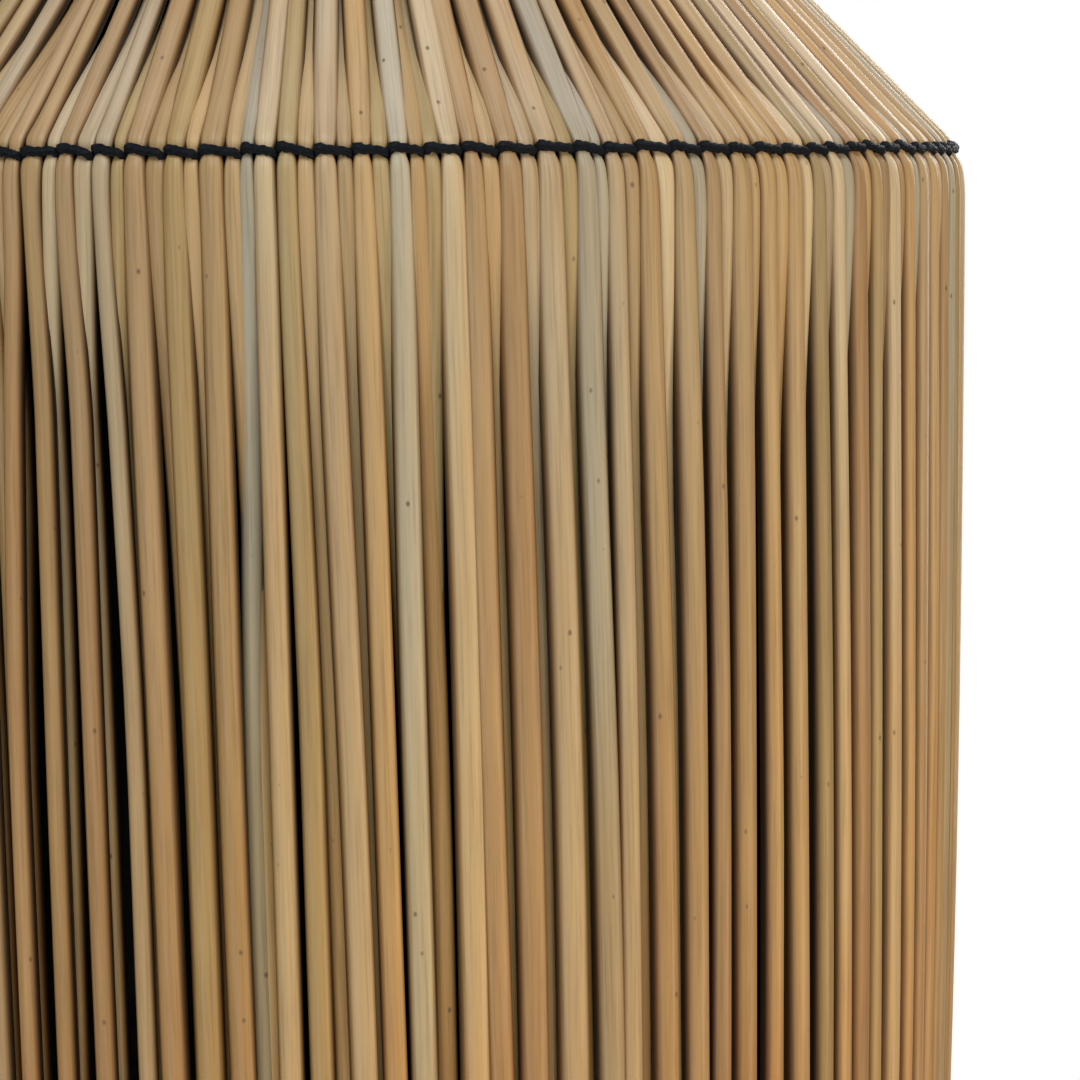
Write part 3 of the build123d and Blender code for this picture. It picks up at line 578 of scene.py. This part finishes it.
def metal_material(name, colour, roughness, grain=(260, 260, 30), spread=0.25, tarnish=None):
    """A metal with brushing or spangle, slight unevenness and, if asked, tarnish."""
    material, nodes, links = new_material(name)
    shader = nodes["Principled BSDF"]
    shader.inputs["Metallic"].default_value = 1.0
    brushed = noise(nodes, links, object_place(nodes, links, grain), 1.0, 4.0)
    blotch = noise(nodes, links, object_place(nodes, links), 55.0, 3.0)
    low = tuple(c * (1 - spread) for c in colour)
    base = ramp(nodes, links, brushed, ((0.3, low), (0.7, colour)))
    if tarnish:
        cover = ramp(nodes, links, blotch, ((0.45, grey(0.0)), (0.75, grey(0.55))))
        base = mix(nodes, links, "MIX", cover, base, (*tarnish, 1.0))
    links.new(base, shader.inputs["Base Color"])
    uneven = ramp(nodes, links, blotch, ((0.3, grey(roughness * 0.8)), (0.7, grey(roughness * 1.25))))
    links.new(uneven, shader.inputs["Roughness"])
    links.new(bump(nodes, links, brushed, 0.25, 0.0001), shader.inputs["Normal"])
    return material


def painted_material(name, colour, roughness, shine=0.45):
    """Powder coat on steel: a fine orange peel, slightly worn at the edges."""
    material, nodes, links = new_material(name)
    shader = nodes["Principled BSDF"]
    peel = noise(nodes, links, object_place(nodes, links), 1500.0, 2.0)
    dust = noise(nodes, links, object_place(nodes, links), 38.0, 5.0, 0.65)
    dusty = tuple(c * 1.35 + 0.004 * shine for c in colour)
    base = ramp(nodes, links, dust, ((0.40, colour), (0.75, dusty)))
    edges = nodes.new("ShaderNodeNewGeometry").outputs["Pointiness"]
    worn = ramp(nodes, links, edges, ((0.56, grey(0.0)), (0.64, grey(0.22))))
    chips = ramp(nodes, links, dust, ((0.46, grey(0.0)), (0.56, grey(1.0))))
    worn = math_node(nodes, links, "MULTIPLY", worn, chips)
    base = mix(nodes, links, "MIX", worn, base, (0.16, 0.15, 0.14, 1.0))
    links.new(base, shader.inputs["Base Color"])
    uneven = ramp(nodes, links, dust, ((0.3, grey(roughness * 0.94)), (0.7, grey(roughness * 1.08))))
    links.new(uneven, shader.inputs["Roughness"])
    shader.inputs["Specular IOR Level"].default_value = shine
    links.new(bump(nodes, links, peel, 0.25, 0.00008), shader.inputs["Normal"])
    return material


def bamboo_material():
    """Culm skin: long fibres, mottled patches and a dark band at each node."""
    material, nodes, links = new_material("bamboo")
    shader = nodes["Principled BSDF"]
    fibres = noise(nodes, links, object_place(nodes, links, (900, 900, 14)), 1.0, 4.0)
    mottle = noise(nodes, links, object_place(nodes, links, (30, 30, 9)), 1.0, 4.0, 0.6)
    base = ramp(nodes, links, mottle, (
        (0.25, (0.30, 0.19, 0.075)), (0.45, (0.48, 0.32, 0.13)), (0.65, (0.56, 0.40, 0.18)),
        (0.85, (0.44, 0.33, 0.14)),
    ))
    streak = ramp(nodes, links, fibres, ((0.3, grey(0.72)), (0.55, grey(1.0)), (0.8, grey(1.1))))
    base = mix(nodes, links, "MULTIPLY", 0.8, base, streak)
    height = nodes.new("ShaderNodeSeparateXYZ")
    links.new(nodes.new("ShaderNodeTexCoord").outputs["Object"], height.inputs[0])
    for z in culm_nodes:
        away = math_node(nodes, links, "SUBTRACT", height.outputs[2], z * MM)
        dark = ramp(nodes, links, math_node(nodes, links, "MULTIPLY_ADD", away, 60.0, 0.5), (
            (0.0, grey(0.0)), (0.36, grey(0.35)), (0.50, grey(0.85)), (0.56, grey(0.1)), (0.62, grey(0.0)),
        ))
        base = mix(nodes, links, "MIX", dark, base, (0.10, 0.055, 0.022, 1.0))
    links.new(base, shader.inputs["Base Color"])
    links.new(ramp(nodes, links, mottle, ((0.3, grey(0.34)), (0.7, grey(0.5)))),
              shader.inputs["Roughness"])
    shader.inputs["Coat Weight"].default_value = 0.25
    shader.inputs["Coat Roughness"].default_value = 0.3
    links.new(bump(nodes, links, fibres, 0.3, 0.00015), shader.inputs["Normal"])
    return material


def rubber_material():
    material, nodes, links = new_material("rubber")
    shader = nodes["Principled BSDF"]
    dust = noise(nodes, links, object_place(nodes, links), 300.0, 4.0)
    links.new(ramp(nodes, links, dust, ((0.3, (0.012, 0.012, 0.012)), (0.8, (0.05, 0.048, 0.045)))),
              shader.inputs["Base Color"])
    shader.inputs["Roughness"].default_value = 0.75
    links.new(bump(nodes, links, dust, 0.2, 0.0001), shader.inputs["Normal"])
    return material


def wick_material():
    """Cotton, yellowed by oil and charred at its lit end."""
    material, nodes, links = new_material("wick_cotton")
    shader = nodes["Principled BSDF"]
    fuzz = noise(nodes, links, object_place(nodes, links), 2200.0, 4.0, 0.7)
    cotton = ramp(nodes, links, fuzz, ((0.3, (0.52, 0.43, 0.28)), (0.7, (0.74, 0.67, 0.52))))
    height = nodes.new("ShaderNodeSeparateXYZ")
    links.new(nodes.new("ShaderNodeTexCoord").outputs["Object"], height.inputs[0])
    ragged = math_node(nodes, links, "MULTIPLY_ADD", fuzz, 0.0035, height.outputs[2])
    scaled = math_node(nodes, links, "MULTIPLY_ADD", ragged, 1 / 0.012, -(wick_hi.z - 0.0085) / 0.012)
    char = ramp(nodes, links, scaled, ((0.05, grey(0.0)), (0.40, grey(0.6)), (0.62, grey(1.0))))
    base = mix(nodes, links, "MIX", char, cotton, (0.008, 0.007, 0.006, 1.0))
    links.new(base, shader.inputs["Base Color"])
    shader.inputs["Roughness"].default_value = 0.92
    shader.inputs["Sheen Weight"].default_value = 0.25
    links.new(bump(nodes, links, fuzz, 0.5, 0.00012), shader.inputs["Normal"])
    return material


def wood_material(name, dark, light):
    material, nodes, links = new_material(name)
    shader = nodes["Principled BSDF"]
    rings = noise(nodes, links, object_place(nodes, links, (700, 120, 120)), 1.0, 4.0)
    links.new(ramp(nodes, links, rings, ((0.3, dark), (0.7, light))), shader.inputs["Base Color"])
    shader.inputs["Roughness"].default_value = 0.38
    shader.inputs["Coat Weight"].default_value = 0.4
    shader.inputs["Coat Roughness"].default_value = 0.15
    links.new(bump(nodes, links, rings, 0.15, 0.0001), shader.inputs["Normal"])
    return material


# ---------------------------------------------------------------- wick
def braided_wick():
    """A round braid: strands cross over and under on the wick's skin."""
    lo, hi = wick_lo / MM, wick_hi / MM
    radius = hi.x
    rings, sides, strands, lay = 420, 48, 8, 9.0
    z = np.linspace(lo.z, hi.z - 0.4, rings)[:, None]
    turn = np.linspace(0, 2 * math.pi, sides, endpoint=False)[None, :]
    right = np.cos(strands * turn + 2 * math.pi * z / lay)
    left = np.cos(strands * turn - 2 * math.pi * z / lay)
    skin = np.maximum(right, left) * 0.30 + 0.06 * right * left
    end = smooth((hi.z - z) / 2.5) * 0.25 + 0.75
    ragged = 0.12 * rng.normal(size=(rings, sides)) * smooth((z - hi.z + 6) / 6)
    size = (radius - 0.36 + skin + ragged) * end
    rise = z + 0 * turn
    rise[-1] += rng.uniform(-0.5, 0.4, sides)
    verts = np.stack([size * np.cos(turn), size * np.sin(turn), rise], -1).reshape(-1, 3)
    return mesh_object("wick_braid", verts, tube_faces(rings, sides, 0))


# ---------------------------------------------------------------- spout thread
def spout_thread():
    """The rolled thread on the canister's spout, seen when the cap is off."""
    lift, crest = 4.0, 0.12
    radius = 24.0
    top = lid_top / MM - 1.2
    turns, per_turn = 2.25, 96
    count = int(turns * per_turn)
    verts, faces = [], []
    profile = ((-0.9, -0.05), (-0.35, crest), (0.35, crest), (0.9, -0.05))
    for k in range(count):
        turn = 2 * math.pi * k / per_turn
        fade = min(1.0, k / 14, (count - 1 - k) / 14)
        z = top - 1.0 - lift * (turns - k / per_turn)
        for rise, proud in profile:
            r = radius + (proud * fade if proud > 0 else proud)
            verts.append((r * math.cos(turn), r * math.sin(turn), z + rise))
    n = len(profile)
    for k in range(count - 1):
        faces += [(k * n + j, (k + 1) * n + j, (k + 1) * n + j + 1, k * n + j + 1) for j in range(n - 1)]
        faces.append((k * n, k * n + n - 1, (k + 1) * n + n - 1, (k + 1) * n))
    faces += [tuple(range(n)), tuple((count - 1) * n + n - 1 - j for j in range(n))]
    return mesh_object("spout_thread", verts, faces)


# ---------------------------------------------------------------- build the pieces
NODE_SPACING = 185.0
culm_nodes = []
for name, first in (("lower_pole", 0.65), ("upper_pole", 0.62)):
    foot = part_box(name)[0].z / MM
    culm_nodes += [foot + NODE_SPACING * (k + first) for k in range(2)]

reeds_front = build_reeds(True)
reeds_back = build_reeds(False)
shoulder_cord = twined_lashing("shoulder_twine", HOOP_R, 0.0, cord_place(0.0, 1.0), -2.65, 0.70)
neck_cord = twined_lashing("neck_twine", NECK_HOOP_R, NECK_HOOP_Z, cord_place(NECK_S, 0.6), -2.0, 0.6)
lower_cord = twined_lashing("lower_twine", LOWER_HOOP_R, LOWER_HOOP_Z, cord_place(LOWER_S, 0.8),
                            2.0, 0.7)
wick_piece = braided_wick()
thread_piece = spout_thread()

reed_look, cord_look = reed_material(), cord_material()
black_paint = painted_material("black_powder_coat", (0.012, 0.0125, 0.0135), 0.42)
# Black steel made near lightless and matte: painted shade for the dark inside of the head seen between the
# reeds
shade_black = painted_material("painted_shade_steel", (0.0012, 0.0011, 0.0010), 0.9, shine=0.06)
galvanised = metal_material("galvanised_steel", (0.62, 0.63, 0.64), 0.38, grain=(120, 120, 120),
                            spread=0.28, tarnish=(0.42, 0.42, 0.41))
zinc = metal_material("zinc_plate", (0.72, 0.72, 0.70), 0.28, spread=0.15)
brass = metal_material("aged_brass", (0.50, 0.36, 0.17), 0.36, spread=0.2, tarnish=(0.20, 0.14, 0.07))
rubber, bamboo = rubber_material(), bamboo_material()
cotton = wick_material()
dark_wood = wood_material("dark_wood", (0.022, 0.010, 0.005), (0.075, 0.035, 0.015))

for piece, body, old, slot_name, look in (
    (reeds_front, "torch_head", "outer_reeds", "outer_reeds", reed_look),
    (reeds_back, "torch_head", "inner_reeds", "inner_reeds", reed_look),
    (shoulder_cord, "torch_head", "shoulder_lashing", "shoulder_lashing", cord_look),
    (neck_cord, "torch_head", "neck_lashing", "neck_lashing", cord_look),
    (lower_cord, "torch_head", "lower_lashing", "lower_lashing", cord_look),
    (wick_piece, "wick", "wick", "wick", cotton),
):
    piece.data.materials.append(look)
    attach(piece, body)
    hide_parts(old)
thread_piece.data.materials.append(galvanised)
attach(thread_piece, "canister")

# The shoulder and neck hoops, ribs and heat shield inside the reeds take the near-black steel of painted
# shade
LOOKS = {
    "ground_spike": black_paint, "step_plate": black_paint, "lower_socket": black_paint,
    "coupling_sleeve": black_paint, "head_socket": black_paint, "base_bowl": black_paint,
    "neck_collar": black_paint, "shoulder_hoop": shade_black, "lower_hoop": black_paint,
    "neck_hoop": shade_black, "drum_ribs": shade_black, "cone_ribs": shade_black, "heat_shield": shade_black,
    "lower_pole": bamboo, "upper_pole": bamboo, "clamp_pad": brass, "thumb_screw": brass,
    "lower_socket_screws": zinc, "sleeve_screws": zinc, "head_socket_screws": zinc,
    "bolt_washer": zinc, "centre_bolt": zinc, "centre_nut": zinc, "fuel_can": galvanised,
    "can_lid": galvanised, "cap_gasket": rubber, "screw_cap": brass, "wick_tube": brass,
    "snuffer_bracket": zinc, "bracket_rivets": zinc, "snuffer_pin": zinc,
    "snuffer_cup": brass, "snuffer_arm": brass, "snuffer_knob": dark_wood,
}
for name, look in LOOKS.items():
    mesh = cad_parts[name].data
    mesh.materials.clear()
    mesh.materials.append(look)

# ---------------------------------------------------------------- floor, light and camera
FLOOR_RADIUS = 2.4
bpy.ops.mesh.primitive_circle_add(
    vertices=96, radius=FLOOR_RADIUS, fill_type="NGON", location=(0, 0, cad_box[0].z)
)
floor = bpy.context.object
floor.name = "floor"
floor_look, nodes, _ = new_material("pale_floor")
nodes["Principled BSDF"].inputs["Base Color"].default_value = (0.90, 0.89, 0.87, 1.0)
nodes["Principled BSDF"].inputs["Roughness"].default_value = 0.9
floor.data.materials.append(floor_look)

world = bpy.data.worlds.new("studio")
bpy.context.scene.world = world
world.use_nodes = True
nodes, links = world.node_tree.nodes, world.node_tree.links
ambient = nodes["Background"]
ambient.inputs["Color"].default_value = (1.0, 0.985, 0.96, 1.0)
ambient.inputs["Strength"].default_value = 0.28
backdrop = nodes.new("ShaderNodeBackground")
backdrop.inputs["Color"].default_value = (1.0, 1.0, 1.0, 1.0)
backdrop.inputs["Strength"].default_value = 1.0
seen = nodes.new("ShaderNodeLightPath")
choose = nodes.new("ShaderNodeMixShader")
links.new(seen.outputs["Is Camera Ray"], choose.inputs[0])
links.new(ambient.outputs[0], choose.inputs[1])
links.new(backdrop.outputs[0], choose.inputs[2])
links.new(choose.outputs[0], nodes["World Output"].inputs["Surface"])

HEAD = Vector((0, 0, SHOULDER_Z * MM))


def area_light(name, place, aim, size, power, colour):
    light = bpy.data.lights.new(name, "AREA")
    light.shape = "DISK"
    light.size = size
    light.energy = power
    light.color = colour
    obj = bpy.data.objects.new(name, light)
    obj.location = place
    obj.rotation_euler = (Vector(aim) - Vector(place)).to_track_quat("-Z", "Y").to_euler()
    bpy.context.scene.collection.objects.link(obj)


WHITE, WARM_WHITE, AMBER = (1.0, 1.0, 1.0), (1.0, 0.95, 0.88), (1.0, 0.72, 0.45)
DRUM_EDGE = HEAD + Vector((0.08, 0, -0.07))
for lamp in (  # name, place, aim, size in metres, watts and colour
    ("key", HEAD + Vector((-0.05, -1.35, 2.0)), HEAD, 1.5, 43.0, WHITE),
    ("fill", HEAD + Vector((1.3, -1.6, 0.5)), HEAD, 1.5, 12.0, WARM_WHITE),
    ("glow", HEAD + Vector((0.9, -0.35, -0.25)), DRUM_EDGE, 0.3, 3.8, AMBER),
    ("rim", HEAD + Vector((1.0, 1.6, 0.9)), HEAD, 1.2, 12.0, WHITE),
    ("pole_fill", (-1.2, -1.8, 0.7), (0, 0, 0.4), 1.4, 16.0, WHITE),
    ("back_fill", (0.9, 1.9, 1.5), (0, 0, 0.5), 1.6, 22.0, WHITE),
):
    area_light(*lamp)

bpy.context.scene.view_settings.view_transform = "Standard"
camera_data = bpy.data.cameras.new("camera")
camera = bpy.data.objects.new("camera", camera_data)
bpy.context.scene.collection.objects.link(camera)
bpy.context.scene.camera = camera
CAMERA_AWAY = 0.537
CAMERA_RISE = 0.0029  # the camera is level with the shoulder lashing
CAMERA_DIP = 5.25  # degrees that it looks down
CAMERA_TURN = 2.80  # degrees that it looks to the right
camera_data.sensor_width = 36.0
camera_data.lens = 140.0
camera_data.clip_start = 0.02
camera.location = HEAD + Vector((0, -CAMERA_AWAY, CAMERA_RISE))
camera.rotation_euler = Euler((math.radians(90 - CAMERA_DIP), 0, math.radians(-CAMERA_TURN)))
